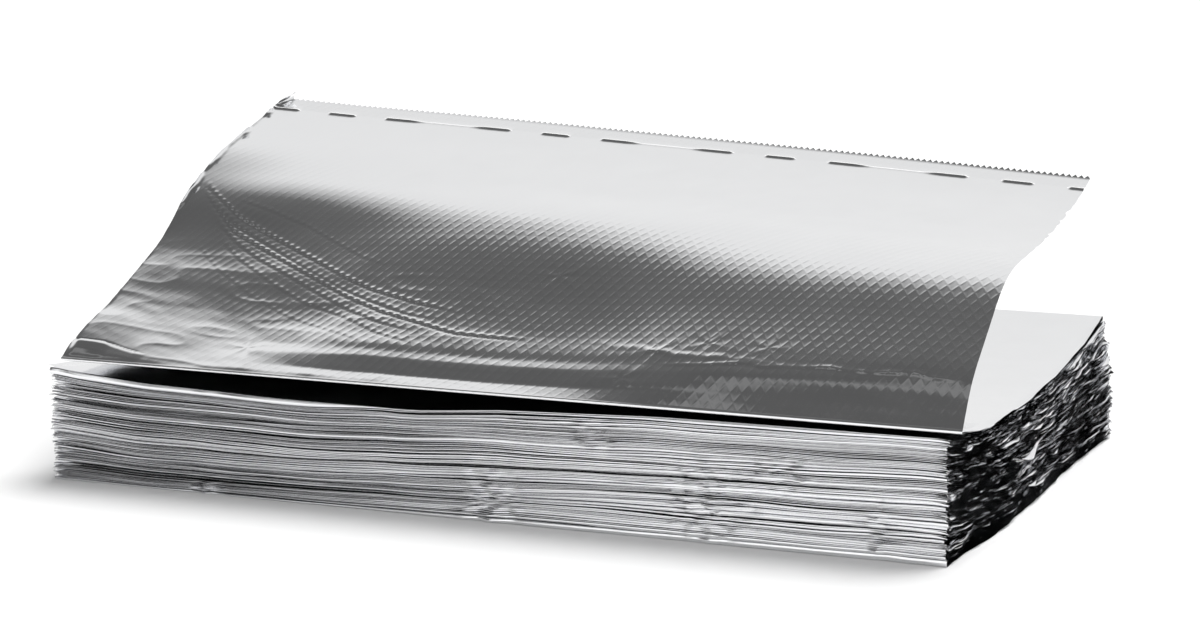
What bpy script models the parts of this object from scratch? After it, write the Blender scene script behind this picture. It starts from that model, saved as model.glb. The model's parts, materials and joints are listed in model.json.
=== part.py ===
"""Interfolded pop-up hair foil: a free-standing stack of V-folded embossed foil sheets.

Every sheet is folded once across its middle, and its neighbours' halves lie between its own two
halves. Odd sheets have their fold at the front, even sheets at the back, counted from the top.
The top sheet's upper half stands up as a curled flap with a serrated edge and a slit crease.

Frame: metres, X along the folds, Y from front to back, Z up, origin at the centre of the underside.
"""

import math
import random

import bmesh
import bpy
from mathutils import Matrix, Vector

MM = 0.001

# Sheet, as cut from the web
SHEET_WIDTH = 228.6 * MM
SHEET_LENGTH = 273.0 * MM
FOLD_DEPTH = SHEET_LENGTH / 2
FRONT_Y = -FOLD_DEPTH / 2
BACK_Y = FOLD_DEPTH / 2

# Stack: level 0 is the lowest half sheet, and each sheet takes two levels
SHEET_COUNT = 36
TOP_LEVEL = 2 * SHEET_COUNT - 1
LOOSE_LEVELS = 4
FOIL = 0.15 * MM
LOOSE_FOIL = 0.20 * MM
LOOSE_PITCH = 0.60 * MM
SHEETS_PER_FOLD_SPAN = 3

# Dish in the stack's top, an arc about a far axis along X that the loose sheets slide on
DISH_LOW_Z = 25.4 * MM
DISH_RADIUS = 460.0 * MM
DISH_DEPTH_Y = 64.0 * MM
DISH_AXIS_Y = FRONT_Y + DISH_DEPTH_Y
DISH_AXIS_Z = DISH_LOW_Z + DISH_RADIUS

# Sag of the front edge under the two loose top layers: place along X and depth
FREE_LEVELS = 2
FRONT_SAG = (
    (-0.460 * SHEET_WIDTH, 1.5 * MM),
    (-0.390 * SHEET_WIDTH, 2.8 * MM),
    (-0.220 * SHEET_WIDTH, 3.7 * MM),
    (-0.070 * SHEET_WIDTH, 3.9 * MM),
    (0.030 * SHEET_WIDTH, 2.0 * MM),
    (0.200 * SHEET_WIDTH, 0.5 * MM),
)
SAG_AT_LEFT_END = 0.4 * MM

# Folds and cut edges
FREE_EDGE_RECESS = 1.5 * MM
EDGE_SPREAD = 0.5 * MM
FOLD_SPREAD = 0.25 * MM
LAYER_STEPS = 6
NOSE_STEPS = 4
HINGE_GAP = 0.35 * MM

# Top sheet's flap
TOP_SHIFT_X = 4.0 * MM
CREASE_Y = FRONT_Y - 0.3 * MM
CREASE_Z = 31.0 * MM
FLAP_FOIL = 0.30 * MM
FLAP_LEAN_X = 8.9 * MM
LEAN_EASE = 0.14
STRIP_WIDTH = 6.5 * MM
FLAP_LENGTH = FOLD_DEPTH
PANEL_LENGTH = FLAP_LENGTH - STRIP_WIDTH
STRIP_KINK = math.radians(2)
# Slope of the flap above the horizontal, in degrees, at equal steps from the crease to the strip
RIGHT_SLOPES = (50.0, 27.5, 15.5, 7.0, 6.0, 7.5, 13.5)
LEFT_SLOPES = (30.5, 14.5, 22.5, 32.5, 20.0, 14.0, 13.5)
FLAP_ROWS = 12
FLAP_COLUMNS = 12
INTEGRATION_STEP = 1.0 * MM

# Serrated cut and the line of slits, repeated along the sheet's width
TOOTH_PITCH = 25.4 / 16 * MM
TOOTH_HEIGHT = 1.0 * MM
SLIT_PERIOD = 40 * TOOTH_PITCH
SLIT_HALF_WIDTH = 0.25 * MM
SHORT_SLIT = 9.0 * MM
LONG_SLIT = 38.0 * MM
FIRST_SHORT_SLIT = 16.5 * MM

FOIL_COLOUR = (0.80, 0.80, 0.82, 1.0)
STACK_COLOUR = (0.66, 0.67, 0.70, 1.0)

spread = random.Random(7)


def clear_scene():
    for obj in list(bpy.data.objects):
        bpy.data.objects.remove(obj, do_unlink=True)


def foil_material(name, colour, roughness):
    material = bpy.data.materials.new(name)
    material.use_nodes = True
    shader = material.node_tree.nodes["Principled BSDF"]
    shader.inputs["Base Color"].default_value = colour
    shader.inputs["Metallic"].default_value = 1.0
    shader.inputs["Roughness"].default_value = roughness
    return material


def arc_z(y, radius):
    """Height at y of the arc of this radius about the dish axis."""
    return DISH_AXIS_Z - math.sqrt(radius**2 - (y - DISH_AXIS_Y) ** 2)


def level_z(level, y, sag=0.0):
    """Height of a level at y: concentric arcs at the top, evenly packed below them.

    sag is how far the front edge has sunk, easing to none at the bottom of the dish.
    """
    from_top = TOP_LEVEL - level
    if from_top < FREE_LEVELS:
        sag = 0.0
    sunk = sag * max(0.0, (DISH_AXIS_Y - y) / DISH_DEPTH_Y) ** 2
    if from_top < LOOSE_LEVELS:
        return arc_z(y, DISH_RADIUS + from_top * LOOSE_PITCH) - sunk
    packed_levels = TOP_LEVEL - LOOSE_LEVELS
    packed_top = arc_z(y, DISH_RADIUS + LOOSE_LEVELS * LOOSE_PITCH) - sunk
    bottom = FOIL / 2
    return bottom + (packed_top - bottom) * level / packed_levels


def layer(level, y_from, y_to, sag=0.0):
    """Points of one level from y_from to y_to, both included."""
    points = []
    for step in range(LAYER_STEPS + 1):
        y = y_from + (y_to - y_from) * step / LAYER_STEPS
        points.append((y, level_z(level, y, sag)))
    return points


def nose(y, z_low, z_high, outward):
    """Half circle that joins two levels at y, bulging towards outward (-1 front, +1 back)."""
    radius = (z_high - z_low) / 2
    centre = (z_high + z_low) / 2
    points = []
    for step in range(1, NOSE_STEPS):
        angle = -math.pi / 2 + math.pi * step / NOSE_STEPS
        points.append((y + outward * radius * math.cos(angle), centre + radius * math.sin(angle)))
    return points


def link(obj, collection, material):
    collection.objects.link(obj)
    obj.data.materials.append(material)
    return obj


def solidify(obj, thickness):
    modifier = obj.modifiers.new("foil thickness", "SOLIDIFY")
    modifier.thickness = thickness
    modifier.offset = 0.0
    modifier.use_even_offset = True
    return obj


def swept_sheet(name, stations, thickness, collection, material):
    """A sheet through side profiles of (y, z) points, one at each X station, made solid."""
    mesh = bpy.data.meshes.new(name)
    shape = bmesh.new()
    rows = [[shape.verts.new((x, y, z)) for y, z in profile] for x, profile in stations]
    for row, following in zip(rows, rows[1:]):
        for index in range(len(row) - 1):
            left, right = row[index : index + 2], following[index : index + 2]
            # Every sheet is split along the same diagonal, so that neighbours stay nested
            if left[0].co.y < left[1].co.y:
                shape.faces.new((left[0], right[0], right[1]))
                shape.faces.new((left[0], right[1], left[1]))
            else:
                shape.faces.new((left[0], right[0], left[1]))
                shape.faces.new((right[0], right[1], left[1]))
    shape.to_mesh(mesh)
    shape.free()
    obj = link(bpy.data.objects.new(name, mesh), collection, material)
    return solidify(obj, thickness)


def plain_stations(profile, x_from, x_to):
    """The same side profile at both ends."""
    return [(x_from, profile), (x_to, profile)]


def end_x(side):
    """X of a cut end, with the small misalignment that stacked sheets have."""
    return side * SHEET_WIDTH / 2 + spread.uniform(-EDGE_SPREAD, EDGE_SPREAD)


def sag_stations(x_from, x_to):
    """(x, sag) along the sheet, from its left end to its right end."""
    return [(x_from, SAG_AT_LEFT_END), *FRONT_SAG, (x_to, 0.0)]


def folded_sheet(name, lower_level, upper_level, outward, collection, material):
    """A whole V-folded sheet: lower half, nose and upper half. outward is -1 for a front fold."""
    edge_y = outward * FOLD_DEPTH / 2
    rough = (level_z(upper_level, edge_y) - level_z(lower_level, edge_y)) / 2
    fold_y = edge_y - outward * (rough + FOLD_SPREAD + spread.uniform(-FOLD_SPREAD, FOLD_SPREAD))
    free_y = -edge_y + outward * (FREE_EDGE_RECESS + rough + spread.uniform(0, FOLD_SPREAD))
    stations = []
    for x, sag in sag_stations(end_x(-1), end_x(1)):
        low = layer(lower_level, free_y, fold_y, sag)
        high = layer(upper_level, fold_y, free_y, sag)
        bend = nose(fold_y, low[-1][1], high[0][1], outward)
        stations.append((x, low + bend + high))
    return swept_sheet(name, stations, FOIL, collection, material)


def lower_stack(collection, material):
    """Every sheet below the top two, bottom sheet first."""
    for index in range(SHEET_COUNT - 2):
        outward = -1 if (SHEET_COUNT - 1 - index) % 2 == 0 else 1
        lower_level = 2 * index
        upper_level = lower_level + SHEETS_PER_FOLD_SPAN
        name = f"foil_sheet_{index + 1:02d}"
        folded_sheet(name, lower_level, upper_level, outward, collection, material)


def second_sheet(collection, material):
    """Back-folded sheet under the flap: a base that holds the fold, and a half that pops up."""
    lower_level, upper_level = TOP_LEVEL - 3, TOP_LEVEL
    half_span = (level_z(upper_level, BACK_Y) - level_z(lower_level, BACK_Y)) / 2
    fold_y = BACK_Y - half_span
    free_y = FRONT_Y + FREE_EDGE_RECESS + half_span
    hinge = Vector((0, fold_y, level_z(upper_level, fold_y)))
    x_from, x_to = -SHEET_WIDTH / 2, SHEET_WIDTH / 2
    stations = []
    for x, sag in sag_stations(x_from, x_to):
        low = layer(lower_level, free_y, fold_y, sag)
        stations.append((x, low + nose(fold_y, low[-1][1], hinge.z, 1)))
    swept_sheet("second_sheet_base", stations, LOOSE_FOIL, collection, material)
    high = plain_stations(layer(upper_level, fold_y - HINGE_GAP, free_y), x_from, x_to)
    flap = swept_sheet("second_sheet_flap", high, LOOSE_FOIL, collection, material)
    move_origin(flap, hinge)


def top_sheet_base(collection, material):
    """Front-folded lower half of the top sheet, under the second sheet's upper half."""
    level = TOP_LEVEL - 1
    half_span = (CREASE_Z - level_z(level, CREASE_Y)) / 2
    free_y = BACK_Y - FREE_EDGE_RECESS - half_span
    low = layer(level, free_y, CREASE_Y)
    profile = low + nose(CREASE_Y, low[-1][1], CREASE_Z, -1)
    x_from = -SHEET_WIDTH / 2 + TOP_SHIFT_X
    stations = plain_stations(profile, x_from, x_from + SHEET_WIDTH)
    swept_sheet("top_sheet_base", stations, LOOSE_FOIL, collection, material)


def smooth_pick(values, share):
    """Value at a share of the way along a list, eased between its entries."""
    place = min(max(share, 0.0), 1.0) * (len(values) - 1)
    index = min(int(place), len(values) - 2)
    local = place - index
    eased = local * local * (3 - 2 * local)
    return values[index] + (values[index + 1] - values[index]) * eased


def flap_point(u, v):
    """Place of the flap's point u along the crease from its left end and v away from the crease."""
    across = u / SHEET_WIDTH
    y, z, walked = CREASE_Y, CREASE_Z, 0.0
    while walked < v - 1e-9:
        step = min(INTEGRATION_STEP, v - walked)
        along = (walked + step / 2) / PANEL_LENGTH
        left, right = smooth_pick(LEFT_SLOPES, along), smooth_pick(RIGHT_SLOPES, along)
        slope = math.radians(left + (right - left) * across)
        if along > 1:
            slope += STRIP_KINK
        y += step * math.cos(slope)
        z += step * math.sin(slope)
        walked += step
    share = v / FLAP_LENGTH
    lean = FLAP_LEAN_X * (share - LEAN_EASE * share**3)
    return Vector((-SHEET_WIDTH / 2 + TOP_SHIFT_X + u - lean, y, z))


def serrated_outline():
    """Flat outline of the flap: straight at the crease and sides, with teeth along the far edge."""
    points = [(0.0, HINGE_GAP), (SHEET_WIDTH, HINGE_GAP), (SHEET_WIDTH, FLAP_LENGTH)]
    teeth = int(SHEET_WIDTH / TOOTH_PITCH)
    for tooth in range(teeth):
        tip_u = SHEET_WIDTH - (tooth + 0.5) * TOOTH_PITCH
        points.append((tip_u, FLAP_LENGTH + TOOTH_HEIGHT))
        if tooth < teeth - 1:
            points.append((tip_u - TOOTH_PITCH / 2, FLAP_LENGTH))
    points.append((0.0, FLAP_LENGTH))
    return points


def slits():
    """The (start, end) of each slit along the sheet's width: short and long ones in turn."""
    found = []
    bridge = (SLIT_PERIOD - SHORT_SLIT - LONG_SLIT) / 2
    start = FIRST_SHORT_SLIT - SLIT_PERIOD
    while start < SHEET_WIDTH:
        long_start = start + SHORT_SLIT + bridge
        for left, right in ((start, start + SHORT_SLIT), (long_start, long_start + LONG_SLIT)):
            clipped = (max(left, -MM), min(right, SHEET_WIDTH + MM))
            if clipped[1] - clipped[0] > 2 * MM:
                found.append(clipped)
        start += SLIT_PERIOD
    return found


def cut_across(shape, point, normal):
    geometry = shape.verts[:] + shape.edges[:] + shape.faces[:]
    bmesh.ops.bisect_plane(shape, geom=geometry, dist=1e-7, plane_co=point, plane_no=normal)


def top_sheet_flap(collection, material):
    """The flap, cut flat as a blank with teeth and slits, then bent along its curl."""
    mesh = bpy.data.meshes.new("top_sheet_flap")
    shape = bmesh.new()
    shape.faces.new([shape.verts.new((u, v, 0)) for u, v in serrated_outline()])
    cut_lines = {SHEET_WIDTH * column / FLAP_COLUMNS for column in range(1, FLAP_COLUMNS)}
    for slit in slits():
        cut_lines.update(slit)
    for u in sorted(cut_lines):
        cut_across(shape, (u, 0, 0), (1, 0, 0))
    rows = [PANEL_LENGTH * row / FLAP_ROWS for row in range(1, FLAP_ROWS)]
    rows += [PANEL_LENGTH - SLIT_HALF_WIDTH, PANEL_LENGTH + SLIT_HALF_WIDTH]
    for v in rows:
        cut_across(shape, (0, v, 0), (0, 1, 0))
    slit_faces = []
    for face in shape.faces:
        middle = face.calc_center_median()
        in_line = abs(middle.y - PANEL_LENGTH) < SLIT_HALF_WIDTH
        if in_line and any(left < middle.x < right for left, right in slits()):
            slit_faces.append(face)
    bmesh.ops.delete(shape, geom=slit_faces, context="FACES")
    for vert in shape.verts:
        vert.co = flap_point(vert.co.x, vert.co.y)
    shape.to_mesh(mesh)
    shape.free()
    flap = link(bpy.data.objects.new("top_sheet_flap", mesh), collection, material)
    solidify(flap, FLAP_FOIL)
    move_origin(flap, Vector((0, CREASE_Y, CREASE_Z)))


def move_origin(obj, point):
    """Puts the object's origin on its joint's axis without moving its shape."""
    obj.data.transform(Matrix.Translation(-point))
    obj.location = point


def main():
    clear_scene()
    collection = bpy.data.collections.new("interfolded_hair_foil_stack")
    bpy.context.scene.collection.children.link(collection)
    stacked = foil_material("stacked foil", STACK_COLOUR, 0.35)
    embossed = foil_material("embossed foil", FOIL_COLOUR, 0.25)
    lower_stack(collection, stacked)
    second_sheet(collection, embossed)
    top_sheet_base(collection, embossed)
    top_sheet_flap(collection, embossed)


main()
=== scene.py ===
"""Looks of the interfolded pop-up hair foil: the stack's real sheets, the raised flap, the studio.

All places are metres in the row frame: X along the folds, Y from front to back, Z up, with the
origin at the centre of the stack's underside.
"""

import json
import math

import bpy
import numpy as np
from mathutils import Matrix, Vector


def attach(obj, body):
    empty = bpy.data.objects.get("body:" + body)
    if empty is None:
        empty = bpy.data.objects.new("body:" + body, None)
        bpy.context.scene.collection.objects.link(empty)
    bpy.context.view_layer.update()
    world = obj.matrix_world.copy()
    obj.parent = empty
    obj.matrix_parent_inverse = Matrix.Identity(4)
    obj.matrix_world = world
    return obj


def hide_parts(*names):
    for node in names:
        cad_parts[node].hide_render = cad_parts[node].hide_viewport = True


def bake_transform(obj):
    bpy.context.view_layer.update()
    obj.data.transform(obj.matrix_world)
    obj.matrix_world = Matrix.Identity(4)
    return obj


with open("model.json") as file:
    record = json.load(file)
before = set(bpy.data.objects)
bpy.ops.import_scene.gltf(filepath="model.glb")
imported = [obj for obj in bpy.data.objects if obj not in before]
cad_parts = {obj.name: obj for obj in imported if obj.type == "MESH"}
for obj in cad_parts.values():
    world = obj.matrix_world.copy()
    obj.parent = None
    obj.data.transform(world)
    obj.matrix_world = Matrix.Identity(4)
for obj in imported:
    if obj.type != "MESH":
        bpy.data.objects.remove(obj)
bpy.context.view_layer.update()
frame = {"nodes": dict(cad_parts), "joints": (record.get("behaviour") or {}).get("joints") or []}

MM = 0.001

# Sheet, as cut from the web
SHEET_WIDTH = 228.6 * MM
SHEET_LENGTH = 273.0 * MM
FOLD_DEPTH = SHEET_LENGTH / 2
FRONT_Y = -FOLD_DEPTH / 2
BACK_Y = FOLD_DEPTH / 2

# Places read from the joints
JOINT_POINT = {joint["name"]: Vector(joint["pos_m"]) for joint in frame["joints"]}
DISH_AXIS_Y, DISH_AXIS_Z = JOINT_POINT["top_sheet_pull"].yz
CREASE_Y, CREASE_Z = JOINT_POINT["top_flap_fold"].yz
BACK_HINGE_Y, BACK_HINGE_Z = JOINT_POINT["second_flap_popup"].yz

# Dish of the stack's top and the sag of its front edge
DISH_RADIUS = 460.0 * MM
LOOSE_PITCH = 0.60 * MM
DISH_DEPTH_Y = DISH_AXIS_Y - FRONT_Y
SAG_X = np.array([-0.5, -0.460, -0.390, -0.220, -0.070, 0.030, 0.200, 0.5]) * SHEET_WIDTH
SAG_DEPTH = np.array([0.4, 1.5, 2.8, 3.7, 3.9, 2.0, 0.5, 0.0]) * MM

# The real sheets of the stack: each CAD node stands for six of them
STACK_NODES = [name for name in sorted(frame["nodes"]) if name.startswith("foil_sheet_")]
SHEETS_PER_NODE = 6
STACK_SHEETS = SHEETS_PER_NODE * len(STACK_NODES)
LEVELS = 2 * STACK_SHEETS + 2
FOLD_SPAN = 3

# How finely a sheet is drawn: points round a fold, near it, and across the rest of a layer
NOSE_STEPS = 5
FOLD_STATIONS = np.array([0, 0.8, 2.2, 4.2]) * MM
LAYER_STATIONS = 40
FREE_EDGE_FIRST_STATION = 7 * MM

# Gaps between folds: how many folds lie between two that gape, and the extra space they take, in
# levels; then the space of the other gaps, and how many folds are wider than the rest
GAP_EVERY = (1, 5)
GAP_SIZE = 15.0
DARK_GAPS = 16.0
WIDE_FOLDS = 80
FOLD_INSET = 0.55 * MM
LARGEST_BULGE = 0.5 * MM
FRAYED_WIDTH = 3.4 * MM
LOWEST_Z = 0.04 * MM

# Opening in the middle of the right end
FAN_Y = -9.0 * MM
FAN_LEVEL = 225

# Crumpled spots of the front face: place along X, half width, level and half height in levels
CRUMPLES = (
    (-72.0 * MM, 6.0 * MM, 30, 40),
    (4.0 * MM, 6.0 * MM, 60, 90),
    (30.0 * MM, 5.0 * MM, 330, 60),
    (58.0 * MM, 9.0 * MM, 110, 110),
    (76.0 * MM, 6.0 * MM, 230, 60),
    (102.0 * MM, 6.0 * MM, 60, 80),
)

# Flap
TOP_SHIFT_X = 4.0 * MM
FLAP_LENGTH = FOLD_DEPTH
STRIP_WIDTH = 6.5 * MM
PANEL_LENGTH = FLAP_LENGTH - STRIP_WIDTH
STRIP_KINK = 2.0
FLAP_LEAN_X = 8.9 * MM
LEAN_EASE = 0.14
PLAIN_FOOT_SLOPE = 15.5
RIGHT_SLOPES = (50.0, 27.5, 15.5, 7.0, 6.0, 7.5, 13.5)
LEFT_SLOPES = (30.5, 15.0, 24.0, 30.0, 20.5, 14.0, 13.5)
TOOTH_PITCH = 25.4 / 16 * MM
TOOTH_HEIGHT = 1.0 * MM
COLUMNS_PER_TOOTH = 4
SLIT_PERIOD = 40 * TOOTH_PITCH
SHORT_SLIT = 9.0 * MM
LONG_SLIT = 38.0 * MM
FIRST_SHORT_SLIT = 16.5 * MM
SLIT_HALF_WIDTH = 0.15 * MM

# The loose sheets lie a little askew, and their fronts are lifted to the crease
SECOND_SHIFT_X = -2.2 * MM
SECOND_SKEW = 5.8 * MM
TOP_LIFT = 0.95 * MM
SECOND_LIFT = 0.62 * MM

# Embossing: crossing grooves, drawn as waves in the sheet's own plane
EMBOSS_ACROSS = 2.8 * MM
EMBOSS_ALONG = 5.1 * MM
GROOVE_SHARPNESS = 8.0
EMBOSS_HEIGHT = 0.034 * MM


# ---------------------------------------------------------------- shape helpers


def smooth_noise(x, y, seed):
    """Value noise from -1 to 1, smooth between the points of a repeating random lattice."""
    cells = 128
    lattice = np.random.RandomState(seed).uniform(-1, 1, (cells, cells))
    x, y = np.broadcast_arrays(x, y)
    x0, y0 = np.floor(x).astype(int), np.floor(y).astype(int)
    fx, fy = x - x0, y - y0
    fx, fy = fx * fx * (3 - 2 * fx), fy * fy * (3 - 2 * fy)
    low = lattice[x0 % cells, y0 % cells] * (1 - fx) + lattice[(x0 + 1) % cells, y0 % cells] * fx
    y1 = (y0 + 1) % cells
    high = lattice[x0 % cells, y1] * (1 - fx) + lattice[(x0 + 1) % cells, y1] * fx
    return low * (1 - fy) + high * fy


def bell(value, centre, width):
    return np.exp(-(((value - centre) / width) ** 2))


def ramp(value, start, end):
    """0 before start, 1 after end, eased between them."""
    share = np.clip((value - start) / (end - start), 0, 1)
    return share * share * (3 - 2 * share)


def smooth_pick(values, share):
    """Value at a share of the way along a list, eased between its entries."""
    place = np.clip(share, 0, 1) * (len(values) - 1)
    index = np.minimum(place.astype(int), len(values) - 2)
    local = place - index
    eased = local * local * (3 - 2 * local)
    values = np.array(values)
    return values[index] + (values[index + 1] - values[index]) * eased


def grid_faces(rows, columns, first=0):
    """Quads of a grid of points stored row by row."""
    corner = first + np.arange(rows - 1)[:, None] * columns + np.arange(columns - 1)[None]
    corner = corner.ravel()
    return np.stack([corner, corner + 1, corner + columns + 1, corner + columns], axis=1)


def new_mesh_object(name, points, faces, flat, material):
    """A shaded mesh object, with each point's place in the flat sheet, in metres, as its UV."""
    mesh = bpy.data.meshes.new(name)
    mesh.vertices.add(len(points))
    mesh.vertices.foreach_set("co", points.astype(np.float32).ravel())
    mesh.loops.add(4 * len(faces))
    mesh.loops.foreach_set("vertex_index", faces.astype(np.int32).ravel())
    mesh.polygons.add(len(faces))
    mesh.polygons.foreach_set("loop_start", np.arange(0, 4 * len(faces), 4, dtype=np.int32))
    uv = mesh.uv_layers.new(name="flat sheet")
    uv.data.foreach_set("uv", flat[faces.ravel()].astype(np.float32).ravel())
    mesh.update(calc_edges=True)
    mesh.shade_smooth()
    obj = bpy.data.objects.new(name, mesh)
    bpy.context.scene.collection.objects.link(obj)
    mesh.materials.append(material)
    return obj


# ---------------------------------------------------------------- materials


def add_depth(obj, depth):
    """Stores how deep the embossing is at each point."""
    layer = obj.data.attributes.new("emboss depth", "FLOAT", "POINT")
    layer.data.foreach_set("value", depth.ravel().astype(np.float32))


def node_chain(tree, kind, inputs, **settings):
    """A shader node with its settings and with its inputs, by index, set or linked."""
    node = tree.nodes.new(kind)
    for key, value in settings.items():
        setattr(node, key, value)
    for index, value in inputs.items():
        if isinstance(value, bpy.types.NodeSocket):
            tree.links.new(value, node.inputs[index])
        else:
            node.inputs[index].default_value = value
    return node


def math_node(tree, operation, first, second=0.0, third=0.0):
    inputs = {0: first, 1: second, 2: third}
    return node_chain(tree, "ShaderNodeMath", inputs, operation=operation).outputs[0]


def groove_lines(tree, flat, across, along):
    """Height of one family of slanting grooves: 1 in the groove, 0 between."""
    slope = (1 / across, 1 / along, 0)
    phase = node_chain(tree, "ShaderNodeVectorMath", {0: flat, 1: slope}, operation="DOT_PRODUCT")
    angle = math_node(tree, "MULTIPLY", phase.outputs["Value"], 2 * math.pi)
    wave = math_node(tree, "MULTIPLY_ADD", math_node(tree, "COSINE", angle), 0.5, 0.5)
    return math_node(tree, "POWER", wave, GROOVE_SHARPNESS)


def foil_material(name, colour, roughness, emboss, crinkle):
    """Rolled aluminium foil: embossed grooves, fine crinkles and uneven roughness."""
    material = bpy.data.materials.new(name)
    material.use_nodes = True
    tree = material.node_tree
    shader = tree.nodes["Principled BSDF"]
    shader.inputs["Metallic"].default_value = 1.0
    flat = node_chain(tree, "ShaderNodeUVMap", {}, uv_map="flat sheet").outputs[0]
    place = tree.nodes.new("ShaderNodeTexCoord").outputs["Object"]
    clouds = node_chain(tree, "ShaderNodeTexNoise", {0: place, 2: 90.0, 3: 3.0}).outputs["Fac"]
    tone = node_chain(
        tree,
        "ShaderNodeMapRange",
        {0: clouds, 1: 0.3, 2: 0.7, 3: roughness * 0.8, 4: roughness * 1.25},
    )
    tree.links.new(tone.outputs[0], shader.inputs["Roughness"])
    darker = tuple(channel * 0.93 for channel in colour[:3]) + (1.0,)
    tint = node_chain(
        tree, "ShaderNodeMix", {0: clouds, 6: darker, 7: colour}, data_type="RGBA"
    )
    tree.links.new(tint.outputs[2], shader.inputs["Base Color"])
    strong = groove_lines(tree, flat, EMBOSS_ACROSS, -EMBOSS_ALONG)
    weak = groove_lines(tree, flat, EMBOSS_ACROSS, EMBOSS_ALONG)
    broken = math_node(tree, "MULTIPLY", strong, math_node(tree, "SUBTRACT", 1.0, weak))
    both = math_node(tree, "MULTIPLY_ADD", weak, 0.85, broken)
    fine = node_chain(tree, "ShaderNodeTexNoise", {0: place, 2: 700.0, 3: 2.0}).outputs["Fac"]
    crease = node_chain(tree, "ShaderNodeTexNoise", {0: place, 2: 160.0, 3: 4.0}).outputs["Fac"]
    rough_height = math_node(tree, "MULTIPLY_ADD", fine, 0.25, crease)
    height = math_node(tree, "MULTIPLY", rough_height, crinkle)
    depth = node_chain(tree, "ShaderNodeAttribute", {}, attribute_name="emboss depth")
    both = math_node(tree, "MULTIPLY", both, depth.outputs["Fac"])
    height = math_node(tree, "MULTIPLY_ADD", both, emboss, height)
    bump = node_chain(
        tree, "ShaderNodeBump", {"Strength": 1.0, "Distance": 0.1 * MM, "Height": height}
    )
    tree.links.new(bump.outputs[0], shader.inputs["Normal"])
    return material


# ---------------------------------------------------------------- the stack's real sheets


def dish_z(y, radius):
    return DISH_AXIS_Z - np.sqrt(radius**2 - (y - DISH_AXIS_Y) ** 2)


def stack_top_z(x, y):
    """Height of the stack's own top, under the two loose layers."""
    sunk = np.interp(x, SAG_X, SAG_DEPTH) * np.maximum(0, (DISH_AXIS_Y - y) / DISH_DEPTH_Y) ** 2
    return dish_z(y, DISH_RADIUS + 2 * LOOSE_PITCH) - sunk


def x_stations():
    """Places across a sheet from the left end to the right, close together where it's crumpled."""
    near_end = np.array([0, 0.35, 0.8, 1.4, 2.2, 3.2, 5.0, 8.0]) * MM
    places = list(-SHEET_WIDTH / 2 + near_end)
    while places[-1] < SHEET_WIDTH / 2 - 14 * MM:
        crumpled = any(abs(places[-1] - spot[0]) < 1.4 * spot[1] for spot in CRUMPLES)
        places.append(places[-1] + (1.3 * MM if crumpled else 5.0 * MM))
    return np.concatenate([places, SHEET_WIDTH / 2 - near_end[::-1]])


def gap_levels(seed, front):
    """The levels, from the bottom up, where the stack gapes between bunches of folds."""
    picker = np.random.RandomState(seed)
    levels = []
    level = 4 * picker.randint(1, 4)
    while level < LEVELS - 8:
        levels.append(level + (2 if front else 0))
        level += 4 * picker.randint(*GAP_EVERY)
    return np.array(levels)


def level_weights(x, seed, front):
    """Relative space under each level at each x: wide where the stack gapes between folds."""
    weights = np.ones((LEVELS, len(x)))
    picker = np.random.RandomState(seed + 100)
    fold = np.arange(LEVELS) // 4
    loose = smooth_noise(x[None] / (17 * MM) + fold[:, None] * 5.1, fold[:, None] * 0.83, seed + 7)
    weights += np.clip(0.7 * loose, 0, None)
    for level in gap_levels(seed, front):
        opening = 0.45 + smooth_noise(x / (40 * MM) + level * 7.3, level * 0.37, seed)
        size = GAP_SIZE * (0.12 + 1.1 * picker.uniform() ** 2) * (1 - 0.3 * ramp(x, -60 * MM, 60 * MM))
        weights[level] += size * np.clip(opening, 0, 1.2)
    if front:
        # Every gap between two folds opens a little, some of them for a part of their length
        gaps = np.arange(2, LEVELS, 4)
        open_here = smooth_noise(x[None] / (34 * MM) + gaps[:, None] * 1.3, gaps[:, None] * 0.31, seed + 5)
        most = (DARK_GAPS * picker.uniform(size=len(gaps)) ** 2)[:, None]
        weights[gaps] += most * np.clip(0.35 + open_here, 0, 1) * (1 - 0.35 * ramp(x, -60 * MM, 90 * MM))
        for n in picker.randint(3, STACK_SHEETS - 3, WIDE_FOLDS):
            level = 2 * n + (1 if (STACK_SHEETS - 1 - n) % 2 == 0 else 3)
            centre, reach = picker.uniform(-110, 130) * MM, picker.uniform(25, 90) * MM
            weights[level : level + 3] += picker.uniform(1, 6) * bell(x, centre, reach)
    return weights


def level_shares():
    """Height of every level as a share of the stack's height, at the front, middle and back."""
    x = x_stations()
    shares = []
    for seed, front in ((3, True), (5, True), (9, False)):
        weights = level_weights(x, seed, front)
        if seed == 3:
            rolled = 55 * ramp(x, -22 * MM, -46 * MM) + 12 * ramp(x, 30 * MM, -10 * MM)
            weights[-3:] += rolled / 3
            weights[1:3] *= 0.3
            weights[3:6] += 5 + 9 * ramp(x, -50 * MM, 20 * MM)
        total = np.cumsum(weights, axis=0)
        shares.append((total - total[0]) / (total[-1] - total[0]))
    return shares


def level_z(levels, x, y):
    """Heights of levels of the stack at the X stations, for whole levels in a column."""
    front, middle, back = (share[levels] for share in LEVEL_SHARES)
    depth = (y - FRONT_Y) / FOLD_DEPTH
    share = front + (middle - front) * ramp(depth, 0.03, 0.40)
    share = share + (back - share) * ramp(depth, 0.60, 0.97)
    wave = 0.35 * MM * smooth_noise(y / (13 * MM), x / (60 * MM) + levels[:, None] / 34, 21)
    return stack_top_z(x, y) * share + wave * 4 * share * (1 - share) + 0.05 * MM


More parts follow.
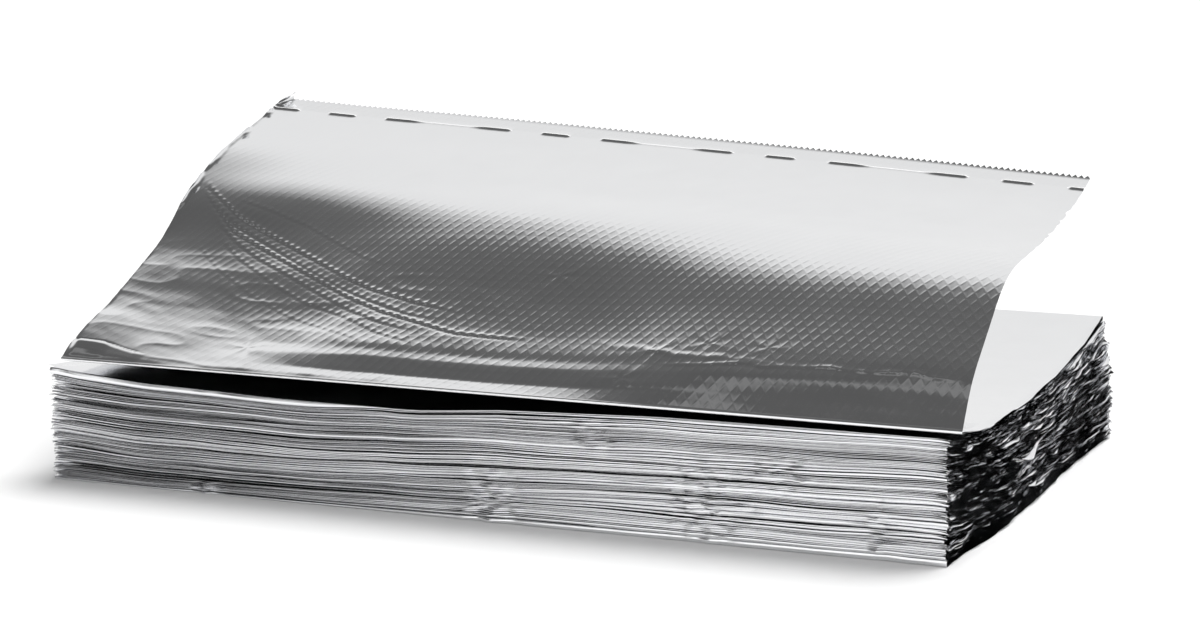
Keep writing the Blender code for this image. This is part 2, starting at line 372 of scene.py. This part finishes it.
def frayed_end(levels, y, right):
    """How far the layers stick out and droop at one end of the stack, bunch by bunch."""
    bunch = np.searchsorted(BUNCHES[1:-1], levels, side="right")
    place = (levels - BUNCHES[bunch]) / (BUNCHES[bunch + 1] - BUNCHES[bunch])
    bunch, place, levels = bunch[:, None], place[:, None], levels[:, None]
    seed = 71 + 2 * right
    hood = smooth_noise(y / (7 * MM) + bunch * 7.7, bunch * 0.9, seed) + 0.12
    fine = smooth_noise(y / (2.9 * MM), levels / 5.0, seed + 1)
    hood = np.clip(hood, 0, 1) + 0.15 * (fine > 0.3)
    long_wave = smooth_noise(y / (20 * MM), levels / 45.0, seed + 4)
    outward = 0.9 * hood * place + 0.30 * fine + 0.5 * long_wave
    if right:
        fan = bell(y, FAN_Y, 8 * MM)
        opened = np.clip((levels - FAN_LEVEL + 16) / 16, 0, 1) * (levels <= FAN_LEVEL)
        outward = outward - 1.4 * fan * bell(levels, FAN_LEVEL - 30, 18)
        outward = outward + 1.6 * fan * opened
        hood = hood + 3.2 * fan * opened / np.maximum(place, 0.25)
        height = levels / LEVELS
        outward = outward + 2.0 * bell(y, FRONT_Y + 42 * MM, 24 * MM) * (1 - height) ** 1.5
        outward = outward - 1.7 * ramp(y, 0, BACK_Y) * ramp(height, 0.4, 1.0)
    burr = np.clip(smooth_noise(y / (6 * MM), levels * 0.83, seed + 8) - 0.12, 0, 0.7)
    burr = burr + 1.2 * np.clip(smooth_noise(y / (16 * MM), levels * 0.47, seed + 9) - 0.5, 0, 1)
    burr = burr * (1 - 0.5 * ramp(y, -15 * MM, 30 * MM))
    curl = 0.16 * smooth_noise(y / (1.9 * MM), levels * 1.7, seed + 6) + 0.42 * burr
    return (outward + 0.3 * burr) * MM, 0.8 * hood * place * MM, curl * MM


def stack_sheet(n):
    """Points of one V-folded sheet, from its lower free edge round the fold to the upper one."""
    x = x_stations()
    outward = -1 if (STACK_SHEETS - 1 - n) % 2 == 0 else 1
    bundle = np.searchsorted(BUNCHES, 2 * n)
    inset = 0.3 + 0.25 * math.sin(bundle * 4.7) + random.uniform(0, 0.10)
    recess = random.uniform(0.4, 0.9) if random.uniform() < 0.34 else 0
    recess = recess * ramp(smooth_noise(x / (32 * MM) + n * 1.9, n * 0.7, 35), -0.5, 0.0)
    inset = (inset + recess) * MM
    wander = smooth_noise(x / (26 * MM) + n * 3.1, n * 0.21, 31) * 0.25 * MM
    dents = smooth_noise(x / (2.1 * MM), n * 0.29, 33)
    crumple = sum(
        bell(x, place, width) * bell(2 * n, level, spread) for place, width, level, spread in CRUMPLES
    )
    fold_y = outward * (FOLD_DEPTH / 2 - FOLD_INSET - inset - wander + dents * crumple * 0.9 * MM)
    free = FOLD_DEPTH - random.uniform(2.5, 4.0) * MM
    from_fold = np.concatenate([FOLD_STATIONS, np.linspace(FREE_EDGE_FIRST_STATION, free, LAYER_STATIONS)])
    y = fold_y[None] - outward * from_fold[:, None]
    low = level_z(np.full(len(y), 2 * n), x[None], y)
    high = level_z(np.full(len(y), 2 * n + FOLD_SPAN), x[None], y)
    radius = (high[0] - low[0]) / 2
    angles = np.linspace(-math.pi / 2, math.pi / 2, NOSE_STEPS + 2)[1:-1, None]
    bulge = 1 + dents * (0.2 + crumple)
    flatness = 1.3 - 0.9 * ramp(x, -100 * MM, 50 * MM)
    reach = np.minimum(flatness * radius, LARGEST_BULGE)
    nose_y = fold_y + outward * reach * bulge * np.cos(angles)
    nose_z = (high[0] + low[0]) / 2 + radius * np.sin(angles)
    ys = np.concatenate([y[::-1], nose_y, y])
    zs = np.concatenate([low[::-1], nose_z, high])
    nose_levels = 2 * n + FOLD_SPAN * np.arange(1, NOSE_STEPS + 1) / (NOSE_STEPS + 1)
    levels = np.concatenate([np.full(len(y), 2 * n), nose_levels, np.full(len(y), 2 * n + FOLD_SPAN)])
    from_end = SHEET_WIDTH / 2 - np.abs(x)
    near = np.clip(1 - from_end / FRAYED_WIDTH, 0, 1)
    xs = x + 0 * ys
    for right in (False, True):
        sticks_out, droop, curl = frayed_end(levels, ys, right)
        here = near * ((x > 0) == right)
        sign = 1 if right else -1
        xs = xs + sign * (sticks_out + random.uniform(-0.25, 0.25) * MM) * here
        zs = zs - (droop * here**2 + curl * (from_end < 0.3 * MM) * here) * np.clip(zs / (3 * MM), 0, 1)
    along = np.concatenate([-from_fold[::-1], np.zeros(NOSE_STEPS), from_fold])
    flat = np.stack(np.broadcast_arrays(x[None] + n * 0.7 * MM, along[:, None]), axis=-1)
    return np.stack([xs, ys, np.maximum(zs, LOWEST_Z)], axis=-1), flat


# Seeded draws of the stack, made in order as its sheets are built
random = np.random.RandomState(11)
BUNCHES = np.concatenate([[0], gap_levels(5, True), [LEVELS]])
LEVEL_SHARES = level_shares()


def build_stack():
    """One piece for each CAD node: its six real sheets, each with its own folds and crumples."""
    stacked = foil_material("stacked foil", (0.89, 0.895, 0.91, 1.0), 0.13, 0.0, 0.16)
    for index, node in enumerate(STACK_NODES):
        points, faces, flats, count = [], [], [], 0
        for n in range(index * SHEETS_PER_NODE, (index + 1) * SHEETS_PER_NODE):
            sheet, flat = stack_sheet(n)
            rows, columns = sheet.shape[:2]
            faces.append(grid_faces(rows, columns, count))
            points.append(sheet.reshape(-1, 3))
            flats.append(flat.reshape(-1, 2))
            count += rows * columns
        name = f"foils_{index + 1:02d}"
        piece = new_mesh_object(
            name,
            np.concatenate(points),
            np.concatenate(faces),
            np.concatenate(flats),
            stacked,
        )
        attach(piece, "stack")
        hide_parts(node)


# ---------------------------------------------------------------- the top two sheets


def curl_slope(u, v):
    """Slope of the flap's smooth curl above the horizontal, in degrees."""
    across, along, up = u / SHEET_WIDTH, v / PANEL_LENGTH, v / MM
    left, right = smooth_pick(LEFT_SLOPES, along), smooth_pick(RIGHT_SLOPES, along)
    slope = left + (right - left) * across + STRIP_KINK * (along > 1)
    # The dark band ends lower at the right, higher in the middle and highest at the left
    right = ramp(across, 0.45, 0.9)
    slope = slope + (11 * bell(up, 39, 9.5) - 6 * bell(up, 68, 16)) * right
    slope = slope + 6 * (bell(up, 48, 13) - bell(up, 80, 13)) * bell(across, 0.5, 0.22)
    slope = slope + (3 - 2 * across) * (bell(up, 62, 11) - bell(up, 86, 13)) * ramp(across, 0, 0.12)
    return slope + (5 * bell(up, 69, 10) - 6 * bell(up, 47, 9)) * ramp(across, 0.40, 0.08)


def creased_slope(u, v):
    """Slope of the flap with the long creases along its foot."""
    across, up = u / SHEET_WIDTH, v / MM
    slope = curl_slope(u, v)
    # At the lower left a pale foot, a dark band above it and a pale ridge above that
    low_left = ramp(across, 0.84, 0.46) * ramp(across, -0.13, 0.2)
    banded = ramp(across, 0.20, 0.36)
    bands = 13 + 19 * ramp(up, 4.0, 5.2) - 15 * ramp(up, 9.6, 11.0) + 14 * ramp(up, 12.6, 15.5)
    wanted = PLAIN_FOOT_SLOPE + (bands - PLAIN_FOOT_SLOPE) * banded
    slope = slope + (wanted - slope) * low_left * ramp(up, 20 - 3 * banded, 13)
    patches = smooth_noise(u / (20 * MM) + v / (6 * MM), v / (4 * MM), 45)
    return slope + 4 * patches * ramp(up, 20, 13) * ramp(across, 0.5, 0.72)


def profile(slope, step):
    """Running sums of how far a strip with these slopes goes back and up."""
    start = np.zeros((1, slope.shape[1]))
    back = np.cumsum(np.cos(np.radians(slope)) * step, axis=0)
    rise = np.cumsum(np.sin(np.radians(slope)) * step, axis=0)
    return np.concatenate([start, back]), np.concatenate([start, rise])


def flap_surface(u, v):
    """Points of the curled flap for grids of u from the left end and v from the crease."""
    step = 0.25 * MM
    fine = np.arange(0, FLAP_LENGTH + 2 * MM, step)
    columns = u[0]
    middle = (fine[1:] + fine[:-1])[:, None] / 2 + 0 * columns
    across = columns + 0 * middle
    smooth_back, smooth_rise = profile(curl_slope(across, middle), step)
    back, rise = profile(creased_slope(across, middle), step)
    settled = ramp(fine, 19 * MM, 60 * MM)[:, None]
    back, rise = back + (smooth_back - back) * settled, rise + (smooth_rise - rise) * settled
    y = np.stack([np.interp(v[:, k], fine, back[:, k]) for k in range(len(columns))], axis=1)
    z = np.stack([np.interp(v[:, k], fine, rise[:, k]) for k in range(len(columns))], axis=1)
    share = v / FLAP_LENGTH
    x = -SHEET_WIDTH / 2 + TOP_SHIFT_X + u - FLAP_LEAN_X * (share - LEAN_EASE * share**3)
    return np.stack([x, CREASE_Y + y, CREASE_Z + z], axis=-1)


# Fan of curved creases at the left, each by points (u, v) along it and its height, in mm. The points
# were picked by eye on the reference and turned into u and v by a helper program
FAN_LINES = (
    (((0, 84), (10, 75), (20, 67), (38, 57), (50, 50), (60, 44), (70, 39), (82, 35), (98, 31)), 0.20),
    (((4, 80), (14, 69), (20, 64), (34, 56), (48, 47), (60, 40), (70, 35), (82, 30), (94, 28)), 0.13),
    (((4, 78), (12, 70), (20, 62), (42, 49), (54, 42), (64, 36), (76, 30), (98, 23), (120, 22)), 0.24),
    (((12, 67), (22, 58), (32, 51), (44, 44), (56, 37), (66, 31), (76, 26), (90, 22)), 0.15),
    (((16, 60), (26, 51), (40, 41), (52, 34), (64, 29), (78, 21), (94, 16)), 0.10),
    (((14, 75), (28, 70), (40, 65), (52, 58), (62, 52), (74, 47)), 0.06),
    (((10, 58), (22, 46), (36, 36), (50, 28), (64, 22), (80, 15)), 0.05),
)

# Star-shaped creases where the flap was pinched: place across and up, and size, in mm
STAR_CREASES = ((179, 20, 5), (152, 18, 6), (164, 21, 5), (118, 46, 4), (146, 8, 5), (46, 12, 4))


def fan_line(u, line):
    """Distance up the flap of a crease of the fan at u, and its strength there."""
    points = np.array(line) * MM
    middle = np.interp(u, points[:, 0], points[:, 1])
    first, last = points[0, 0], points[-1, 0]
    inside = ramp(u, first, first + 8 * MM) * ramp(u, last, last - 14 * MM)
    return middle, inside


def fan_share(u, v):
    """1 in the fan-shaped area of pressed-out diamonds, fading to 0 round it."""
    top = fan_line(u, FAN_LINES[0][0])[0] + 3 * MM
    bottom = fan_line(u, FAN_LINES[-1][0])[0] - 4 * MM
    across = ramp(u, 8 * MM, 20 * MM) * ramp(u, 124 * MM, 96 * MM)
    return across * ramp(v, top + 4 * MM, top) * ramp(v, bottom - 8 * MM, bottom)


def diamonds(u, v):
    """The embossed pattern as two crossing waves, each from 0 to 1."""
    return tuple(
        0.5 + 0.5 * np.cos(2 * math.pi * (u / EMBOSS_ACROSS + v / along))
        for along in (-EMBOSS_ALONG, EMBOSS_ALONG)
    )


def emboss_depth(u, v):
    """How deep the embossing is, from 0 to 1: faint where the flap is pulled smooth."""
    depth = 0.25 + 0.7 * ramp(v, 84 * MM, 58 * MM) * ramp(u, 40 * MM, 95 * MM)
    depth += 0.2 * ramp(v, 95 * MM, 65 * MM) * ramp(u, 20 * MM, 60 * MM)
    depth *= 1 - 0.5 * ramp(v, 20 * MM, 8 * MM)
    return depth


def wrinkle_height(u, v):
    """Wrinkles of the flap, as height above its smooth curl."""
    across = u / SHEET_WIDTH
    left = ramp(across, 0.62, 0.25)
    low = ramp(v, 70 * MM, 35 * MM)
    height = 0.06 * MM * smooth_noise(u / (40 * MM), v / (20 * MM), 41)
    soft = smooth_noise(u / (12 * MM) + v / (30 * MM), v / (5 * MM), 43)
    small = smooth_noise(u / (4.5 * MM), v / (2.4 * MM) + u / (9 * MM), 47)
    ridges = (1 - np.abs(smooth_noise(u / (15 * MM) + v / (25 * MM), v / (6 * MM), 49))) ** 3
    height += (0.10 * soft + 0.035 * small + 0.11 * ridges) * MM * (0.06 + left) * low
    strong, weak = diamonds(u, v)
    height += 0.022 * MM * (strong + weak) * fan_share(u, v)
    grooves = strong**4 * (1 - weak**4) + 0.85 * weak**4
    height += EMBOSS_HEIGHT * grooves * emboss_depth(u, v)
    # At the right one thin, uneven crease above the foot
    crease = ramp(across, 0.62, 0.76) * ramp(across, 1.0, 0.96)
    crease = crease * (0.55 + 0.45 * smooth_noise(u / (2.6 * MM), 0 * v, 44))
    line = (13.6 + 0.7 * smooth_noise(u / (5 * MM), 0 * v, 46)) * MM
    height += 0.20 * MM * crease * bell(v, line, 0.5 * MM)
    # and a pale crumple where the foot's creases meet it
    crumple = ramp(across, 0.58, 0.66) * ramp(across, 0.84, 0.76)
    line = 19 * MM - (u - 148 * MM) / 6 + 0.9 * MM * smooth_noise(u / (3.5 * MM), 0 * v, 48)
    crumple = crumple * (0.6 + 0.4 * smooth_noise(u / (3.2 * MM), v / (3 * MM), 50))
    height += 0.26 * MM * crumple * bell(v, line, 1.0 * MM)
    for line, size in FAN_LINES:
        middle, inside = fan_line(u, line)
        ridge = bell(v, middle, 0.55 * MM) - 0.8 * bell(v, middle - 1.0 * MM, 0.55 * MM)
        height += size * MM * inside * (0.25 + 0.75 * strong) * ridge
    for centre_u, centre_v, reach in STAR_CREASES:
        du, dv = u - centre_u * MM, v - centre_v * MM
        spokes = np.abs(np.sin(2.5 * np.arctan2(dv, du) + centre_u))
        height += 0.16 * MM * (1 - spokes) * np.exp(-np.hypot(du, dv) / (reach * MM))
    return height


def corner_fold(u, v):
    """Height of the corner folded back over itself at the crease's left end."""
    size = ramp(u, 23 * MM, 6 * MM)
    along = v / (0.5 + 0.5 * size) / MM
    height = np.interp(along, (0, 3.2, 5.7, 7.3, 7.8, 8.6), (0, 0.90, 1.30, 0.85, -0.30, 0))
    height = height * (0.3 + 0.7 * size) * (1 - 0.3 * ramp(u, 9 * MM, 11.5 * MM))
    return height * ramp(u, 22 * MM, 19 * MM) * (0.3 + 0.7 * ramp(u, 0, 2.6 * MM)) * MM


def roll_left_edge(points, normals, u, v):
    """Turns the left edge up, more towards its free corner."""
    share = v / FLAP_LENGTH
    reach = 0.5 + 0.9 * ramp(share, 0.45, 0.6) + 0.8 * ramp(share, 0.96, 1.0)
    uneven = 1 + 0.6 * smooth_noise(v / (3.6 * MM), v * 0, 53)
    reach = reach * uneven * MM * ramp(share, 0.02, 0.08)
    radius = 1.0 * MM
    beyond = np.clip(reach - u, 0, None)
    angle = beyond / radius
    points = points.copy()
    points[..., 0] += beyond - radius * np.sin(angle)
    return points + normals * (radius * (1 - np.cos(angle)))[..., None]


def surface_normals(points):
    down, across = np.gradient(points, axis=0), np.gradient(points, axis=1)
    normals = np.cross(across, down)
    return normals / np.linalg.norm(normals, axis=-1, keepdims=True)


def slit_ranges():
    """The (start, end) of each slit along the sheet's width: short and long ones in turn."""
    bridge = (SLIT_PERIOD - SHORT_SLIT - LONG_SLIT) / 2
    start = FIRST_SHORT_SLIT - SLIT_PERIOD
    while start < SHEET_WIDTH:
        yield start, start + SHORT_SLIT
        yield start + SHORT_SLIT + bridge, start + SHORT_SLIT + bridge + LONG_SLIT
        start += SLIT_PERIOD


def slit_lip(u):
    """How far the foil is pushed up beside the slits, from 0 to 1: most at a slit's ends."""
    lip = 0 * u
    for start, end in slit_ranges():
        inside = ramp(u, start, start + 1.2 * MM) * ramp(u, end, end - 1.2 * MM)
        middle = ramp(u, start + 7 * MM, start + 13 * MM) * ramp(u, end - 7 * MM, end - 13 * MM)
        lip = lip + inside * (1 - 0.8 * middle)
    return lip


def flap_rows():
    """Distances from the crease of the flap's rows of points."""
    foot = np.linspace(0, 78 * MM, 190)
    panel = np.linspace(79 * MM, PANEL_LENGTH - 2.2 * MM, 46)
    lips = PANEL_LENGTH + np.array([-1.5, -1.1, -0.75, -0.4, -0.15, 0.15, 0.6, 1.1]) * MM
    strip = np.linspace(PANEL_LENGTH + 1.8 * MM, FLAP_LENGTH, 5)
    return np.concatenate([foot, panel, lips, strip, [FLAP_LENGTH + TOOTH_HEIGHT]])


def lifted_front(y):
    """Share of the lift that brings the loose sheets' fronts up to the crease."""
    return ramp(y, FRONT_Y + 24 * MM, FRONT_Y + 1 * MM)


def top_sheet_grid():
    """Points, flat places and the flap's first row of the whole top sheet."""
    teeth = int(round(SHEET_WIDTH / TOOTH_PITCH))
    columns = np.linspace(0, SHEET_WIDTH, teeth * COLUMNS_PER_TOOTH + 1)
    rows = flap_rows()
    u, v = np.meshgrid(columns, rows)
    tooth_share = np.abs((columns / TOOTH_PITCH) % 1 - 0.5) * 2
    v[-1] = FLAP_LENGTH + TOOTH_HEIGHT * (1 - tooth_share) + 0.02 * MM
    flap = flap_surface(u, v)
    normals = surface_normals(flap)
    height = wrinkle_height(u, v) + corner_fold(u, v)
    height *= ramp(v, 0, 1.5 * MM) * ramp(v, PANEL_LENGTH, PANEL_LENGTH - 6 * MM)
    height += 0.36 * MM * slit_lip(u) * bell(v, PANEL_LENGTH, 0.8 * MM)
    height[-1] += 0.30 * MM * (columns / SHEET_WIDTH) * (1 - tooth_share)
    flap = flap + normals * height[..., None]
    flap = roll_left_edge(flap, normals, u, v)
    torn = np.clip(smooth_noise(v / (1.4 * MM), v * 0, 59) - 0.3, 0, 1)
    torn *= ramp(v, 75 * MM, 85 * MM) * ramp(v, 128 * MM, 112 * MM)
    flap[..., 0] -= 1.3 * MM * torn * ramp(u, SHEET_WIDTH - 1.4 * MM, SHEET_WIDTH)
    level_radius = DISH_RADIUS + LOOSE_PITCH
    low_y = np.linspace(BACK_Y - 2.5 * MM, CREASE_Y + 0.5 * MM, 44)[:, None] + 0 * columns
    low_z = dish_z(low_y, level_radius) + TOP_LIFT * lifted_front(low_y)
    half_span = (CREASE_Z - low_z[-1]) / 2
    angles = np.linspace(-math.pi / 2, math.pi / 2, 9)[:-1, None]
    nose_y = CREASE_Y - half_span * np.cos(angles)
    nose_z = low_z[-1] + half_span * (1 + np.sin(angles))
    under_y, under_z = np.concatenate([low_y, nose_y]), np.concatenate([low_z, nose_z])
    askew = TOP_SHIFT_X - 6.8 * MM * (under_y - CREASE_Y) / FOLD_DEPTH
    under = np.stack([columns - SHEET_WIDTH / 2 + askew, under_y, under_z], axis=-1)
    points = np.concatenate([under, flap])
    along = np.concatenate([low_y * 0 + (CREASE_Y - low_y), nose_y * 0, v])
    flat = np.stack([np.broadcast_to(columns, along.shape), along], axis=-1)
    depth = emboss_depth(u, v)
    depth = np.concatenate([0.3 + 0 * under_y, depth])
    return points, flat, depth, len(under)


def without_slits(faces, flat, columns, flap_start):
    """Leaves out the faces in the slits."""
    row = faces[:, 0] // columns - flap_start
    lip = int(np.argmin(np.abs(flap_rows() - (PANEL_LENGTH - SLIT_HALF_WIDTH))))
    middle = flat[faces].mean(axis=1)[:, 0]
    cut = np.zeros(len(faces), bool)
    for start, end in slit_ranges():
        cut |= (middle > start) & (middle < end)
    return faces[~(cut & (row == lip))]


def build_top_sheet(material):
    points, flat, depth, flap_start = top_sheet_grid()
    rows, columns = points.shape[:2]
    flat = flat.reshape(-1, 2)
    faces = without_slits(grid_faces(rows, columns), flat, columns, flap_start)
    name = "top_foil_sheet"
    piece = new_mesh_object(name, points.reshape(-1, 3), faces, flat, material)
    add_depth(piece, depth)
    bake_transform(piece)
    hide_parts("top_sheet_base", "top_sheet_flap")


def build_second_sheet(material):
    """The back-folded sheet: its lower half and fold stay with the stack, and its upper half lies over
    them.
    """
    x = np.linspace(-SHEET_WIDTH / 2, SHEET_WIDTH / 2, 120)
    layer_z = stack_top_z(x, BACK_HINGE_Y)
    half_span = (BACK_HINGE_Z - layer_z) / 2
    angles = np.linspace(-math.pi / 2, math.pi / 2, 9)[:, None]
    nose_y = BACK_HINGE_Y + half_span * np.cos(angles)
    nose_z = layer_z + half_span * (1 + np.sin(angles))
    low_y = np.linspace(FRONT_Y + 2.5 * MM, BACK_HINGE_Y - 0.5 * MM, 40)[:, None] + 0 * x
    low_z = stack_top_z(x[None], low_y) + 0.12 * MM
    ys, zs = np.concatenate([low_y, nose_y]), np.concatenate([low_z, nose_z])
    points = np.stack([x + SECOND_SHIFT_X + 0 * ys, ys, zs], axis=-1)
    flat = np.stack([x + SHEET_WIDTH / 2 + 0 * ys, ys], axis=-1).reshape(-1, 2)
    base = new_mesh_object(
        "second_foil_base",
        points.reshape(-1, 3),
        grid_faces(*points.shape[:2]),
        flat,
        material,
    )
    add_depth(base, 0.3 + 0 * ys)
    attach(base, "stack")
    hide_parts("second_sheet_base")
    x = np.concatenate([np.linspace(-0.5, 0.48, 200), np.linspace(0.482, 0.5, 12)]) * SHEET_WIDTH
    y = np.linspace(BACK_HINGE_Y, FRONT_Y + 1.2 * MM, 150)[:, None] + 0 * x
    end = ramp(np.abs(x), SHEET_WIDTH / 2 - 20 * MM, SHEET_WIDTH / 2)
    wave = 0.12 * MM * smooth_noise(x / (40 * MM), y / (30 * MM), 61)
    wave = wave + 0.05 * MM * end * smooth_noise(x / (9 * MM), y / (7 * MM), 63)
    away = ramp(y, BACK_HINGE_Y, BACK_HINGE_Y - 6 * MM)
    droop = ramp(x, SHEET_WIDTH / 2 - 2.2 * MM, SHEET_WIDTH / 2) ** 2
    droop = droop * (0.35 + 0.35 * smooth_noise(y / (6 * MM), y * 0, 65)) * MM
    z = dish_z(y, DISH_RADIUS) + SECOND_LIFT * lifted_front(y) + (wave - droop) * away
    askew = SECOND_SHIFT_X + SECOND_SKEW * (BACK_HINGE_Y - y) / FOLD_DEPTH
    points = np.stack([x + askew, y, z], axis=-1)
    flat = np.stack([x + SHEET_WIDTH / 2 + 0 * y, y], axis=-1).reshape(-1, 2)
    flap = new_mesh_object(
        "second_foil",
        points.reshape(-1, 3),
        grid_faces(*points.shape[:2]),
        flat,
        material,
    )
    add_depth(flap, 0.32 + 0 * y)
    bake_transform(flap)
    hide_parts("second_sheet_flap")


# ---------------------------------------------------------------- studio


# Room seen over the object from the back (0 degrees) to the front (180): a pale wall behind, a
# dark ceiling with one dim strip, and the pale fill light in front. All of it is neutral
WALL = ((0, (0.91, 0.91, 0.91)), (42, (0.87, 0.87, 0.87)))
CEILING = (
    (60, (0.145, 0.145, 0.145)),
    (75, (0.115, 0.115, 0.115)),
    (88, (0.10, 0.10, 0.10)),
    (94, (0.26, 0.26, 0.26)),
    (100, (0.105, 0.105, 0.105)),
    (118, (0.11, 0.11, 0.11)),
)
WEAK_FILL = ((150, (0.15, 0.15, 0.15)), (180, (0.37, 0.37, 0.37)))
STRONG_FILL = ((132, (1.22, 1.22, 1.22)), (180, (1.22, 1.22, 1.22)))
# Where along the room's X direction the weak fill gives way to the strong one
FILL_CHANGE = (-0.54, -0.36)
FLOOR_HALF = 6.0
FLOOR_GAP = 0.1 * MM
LAMP_ENERGY = 3.0
LAMP_ANGLE = 42
LAMP_FROM = (0.20, 0.38, 0.90)
# Camera: place, focal length in mm, and heading, downward pitch and roll in degrees
CAMERA_PLACE = (0.3244, -0.72245, 0.1886)
CAMERA_LENS = 97.4
CAMERA_HEADING, CAMERA_PITCH, CAMERA_ROLL = 24.0, 10.8, -0.78


def build_studio():
    """A plain pale floor and a soft, neutral room, with its fill light stronger to the right.

    The lamp lights the floor and is hidden from reflections: what the foil mirrors is the room.
    """
    mesh = bpy.data.meshes.new("floor")
    half = FLOOR_HALF
    corners = [(-half, -half, 0), (half, -half, 0), (half, half, 0), (-half, half, 0)]
    mesh.from_pydata(corners, [], [(0, 1, 2, 3)])
    floor = bpy.data.objects.new("floor", mesh)
    floor.location.z = -FLOOR_GAP
    bpy.context.scene.collection.objects.link(floor)
    paint = bpy.data.materials.new("floor paint")
    paint.use_nodes = True
    paint.node_tree.nodes["Principled BSDF"].inputs["Base Color"].default_value = (0.9, 0.9, 0.9, 1)
    paint.node_tree.nodes["Principled BSDF"].inputs["Roughness"].default_value = 0.9
    paint.node_tree.nodes["Principled BSDF"].inputs["Specular IOR Level"].default_value = 0.0
    mesh.materials.append(paint)

    world = bpy.data.worlds.new("studio")
    world.use_nodes = True
    bpy.context.scene.world = world
    tree = world.node_tree
    direction = tree.nodes.new("ShaderNodeTexCoord").outputs["Generated"]
    parts = node_chain(tree, "ShaderNodeSeparateXYZ", {0: direction})
    turn = math_node(tree, "ARCTAN2", parts.outputs[2], parts.outputs[1])
    share = math_node(tree, "DIVIDE", turn, math.pi)
    skies = []
    for stops in (WALL + CEILING + WEAK_FILL, WALL + CEILING + STRONG_FILL):
        sky = node_chain(tree, "ShaderNodeValToRGB", {0: share})
        elements = sky.color_ramp.elements
        while len(elements) < len(stops):
            elements.new(0.5)
        for element, (degrees, colour) in zip(elements, stops):
            element.position = degrees / 180
            element.color = (*colour, 1)
        skies.append(sky.outputs[0])
    start, end = FILL_CHANGE
    side = node_chain(
        tree, "ShaderNodeMapRange", {0: parts.outputs[0], 1: start, 2: end, 3: 0.0, 4: 1.0}
    )
    both = node_chain(
        tree,
        "ShaderNodeMix",
        {0: side.outputs[0], 6: skies[0], 7: skies[1]},
        data_type="RGBA",
    )
    tree.links.new(both.outputs[2], tree.nodes["Background"].inputs["Color"])

    light = bpy.data.lights.new("broad soft light", "SUN")
    light.energy = LAMP_ENERGY
    light.angle = math.radians(LAMP_ANGLE)
    lamp = bpy.data.objects.new("broad soft light", light)
    lamp.rotation_euler = Vector(LAMP_FROM).to_track_quat("Z", "Y").to_euler()
    lamp.visible_glossy = False
    bpy.context.scene.collection.objects.link(lamp)


def build_camera():
    """At the photograph's viewing angle: from the right front, looking a little down."""
    data = bpy.data.cameras.new("camera")
    data.lens = CAMERA_LENS
    data.clip_start = 0.05
    camera = bpy.data.objects.new("camera", data)
    heading = Matrix.Rotation(math.radians(CAMERA_HEADING), 4, "Z")
    pitch = Matrix.Rotation(math.radians(90 - CAMERA_PITCH), 4, "X")
    roll = Matrix.Rotation(math.radians(CAMERA_ROLL), 4, "Z")
    camera.matrix_world = Matrix.Translation(CAMERA_PLACE) @ heading @ pitch @ roll
    bpy.context.scene.collection.objects.link(camera)
    bpy.context.scene.camera = camera
    bpy.context.scene.view_settings.view_transform = "Standard"


def main():
    build_camera()
    build_studio()
    build_stack()
    embossed = foil_material("embossed foil", (0.90, 0.905, 0.915, 1.0), 0.12, 0.21, 0.04)
    build_second_sheet(embossed)
    build_top_sheet(embossed)


main()
